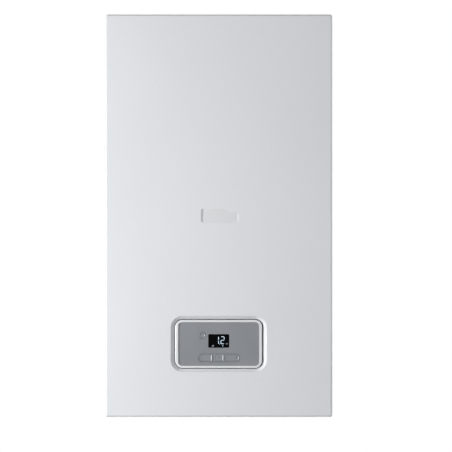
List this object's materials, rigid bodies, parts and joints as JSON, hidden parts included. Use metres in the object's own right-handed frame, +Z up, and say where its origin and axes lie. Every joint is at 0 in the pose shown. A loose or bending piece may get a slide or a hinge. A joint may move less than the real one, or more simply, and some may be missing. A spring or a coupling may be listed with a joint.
{
  "type": "wall-hung condensing boiler",
  "caption": "White wall-hung condensing boiler: plain lift-off front cover, dished control panel with display and keys, and the working parts inside.",
  "frame": {"origin": "midway between the wall bracket's two screw holes, in the plane of the wall", "axes": "+X to the right for somebody facing the front, +Y into the wall, +Z up; the front faces -Y"},
  "size_m": [0.418, 0.344, 0.74],
  "materials": {
    "cover_paint": "satin white powder coat",
    "casing_paint": "satin white powder coat",
    "zinc_sheet": "galvanised sheet",
    "steel": "zinc plated",
    "stainless": "stainless, pickled",
    "aluminium_cast": "die cast",
    "vessel_red": "red gloss paint",
    "motor_grey": "dark grey coated",
    "pump_iron": "black coated",
    "copper": "copper tube",
    "brass": "turned brass",
    "composite": "glass filled, dark",
    "flue_white": "white polypropylene",
    "grey_plastic": "mid grey",
    "black_plastic": "black",
    "red_plastic": "red",
    "box_plastic": "dark grey",
    "fascia_grey": "fine textured metallic grey",
    "ring_silver": "light silver",
    "key_grey": "metallic grey",
    "display_black": "glossy black",
    "board_green": "solder mask",
    "rubber": "black",
    "fibre": "fibre board",
    "plate_white": "satin white, blank"
  },
  "bodies": {
    "chassis": {"left_side_panel": "casing_paint", "right_side_panel": "casing_paint", "top_plate": "casing_paint", "bottom_plate": "zinc_sheet", "rear_panel": "zinc_sheet", "wall_bracket": "steel", "wall_buffers": "rubber", "casing_screws": "steel", "cover_seal": "rubber", "flue_connector": "flue_white", "flue_pipe": "flue_white", "exchanger_drum": "stainless", "exchanger_coil": "stainless", "burner_tube": "stainless", "door_insulation": "fibre", "burner_door": "aluminium_cast", "door_nuts": "steel", "ignition_electrode": "fibre", "mixture_duct": "aluminium_cast", "fan_volute": "aluminium_cast", "fan_motor": "black_plastic", "venturi": "grey_plastic", "air_intake": "black_plastic", "gas_valve": "aluminium_cast", "gas_pipe": "steel", "heating_stubs": "brass", "small_stubs": "brass", "pipe_grommets": "rubber", "cable_gland": "black_plastic", "flow_block": "composite", "return_block": "composite", "plate_heat_exchanger": "stainless", "pump_volute": "pump_iron", "pump_motor": "motor_grey", "relief_valve": "brass", "diverter_motor": "black_plastic", "flow_pipe": "copper", "return_pipe": "copper", "siphon_body": "grey_plastic", "condensate_hose": "black_plastic", "expansion_vessel": "vessel_red", "vessel_hose": "steel"},
    "cover": {"front_cover": "cover_paint", "nameplate": "plate_white"},
    "control_box": {"control_box_front": "box_plastic", "control_box_rear": "box_plastic", "bezel_ring": "ring_silver", "fascia_plate": "fascia_grey", "display_window": "display_black", "key_board": "board_green", "main_board": "board_green"},
    "power_key": {"key_power": "key_grey"},
    "left_key": {"key_left": "key_grey"},
    "middle_key": {"key_middle": "key_grey"},
    "right_key": {"key_right": "key_grey"},
    "fan_rotor": {"fan_wheel": "grey_plastic"},
    "pump_rotor": {"pump_wheel": "grey_plastic"},
    "diverter": {"diverter_spindle": "steel"},
    "relief_handle": {"relief_knob": "red_plastic"},
    "siphon_trap": {"siphon_cup": "black_plastic"}
  },
  "joints": [
    {"name": "cover_off", "type": "slide", "parent": "chassis", "child": "cover", "axis": [0, -1, 0], "range_m": [0, 0.45]},
    {"name": "control_box_tilt", "type": "hinge", "parent": "chassis", "child": "control_box", "pos_m": [0, -0.318, -0.619], "axis": [1, 0, 0], "range_deg": [0, 85]},
    {"name": "power_key_press", "type": "slide", "parent": "control_box", "child": "power_key", "axis": [0, 1, 0], "range_m": [0, 0.001], "stiffness_N_per_m": 2000},
    {"name": "left_key_press", "type": "slide", "parent": "control_box", "child": "left_key", "axis": [0, 1, 0], "range_m": [0, 0.001], "stiffness_N_per_m": 2000},
    {"name": "middle_key_press", "type": "slide", "parent": "control_box", "child": "middle_key", "axis": [0, 1, 0], "range_m": [0, 0.001], "stiffness_N_per_m": 2000},
    {"name": "right_key_press", "type": "slide", "parent": "control_box", "child": "right_key", "axis": [0, 1, 0], "range_m": [0, 0.001], "stiffness_N_per_m": 2000},
    {"name": "fan_spin", "type": "hinge", "parent": "chassis", "child": "fan_rotor", "pos_m": [0.128, -0.28, -0.29], "axis": [0, 1, 0], "continuous": true},
    {"name": "pump_spin", "type": "hinge", "parent": "chassis", "child": "pump_rotor", "pos_m": [0.112, -0.145, -0.488], "axis": [0, 1, 0], "continuous": true},
    {"name": "diverter_stroke", "type": "slide", "parent": "chassis", "child": "diverter", "axis": [0, 1, 0], "range_m": [0, 0.006]},
    {"name": "relief_knob_turn", "type": "hinge", "parent": "chassis", "child": "relief_handle", "pos_m": [-0.178, -0.18, -0.573], "axis": [0, -1, 0], "range_deg": [0, 90]},
    {"name": "siphon_cup_off", "type": "slide", "parent": "chassis", "child": "siphon_trap", "axis": [0, 0, -1], "range_m": [0, 0.08]}
  ],
  "couplings": [
    {"joint": "control_box_tilt", "follows": "cover_off", "rad_per_m": 3.2966}
  ]
}
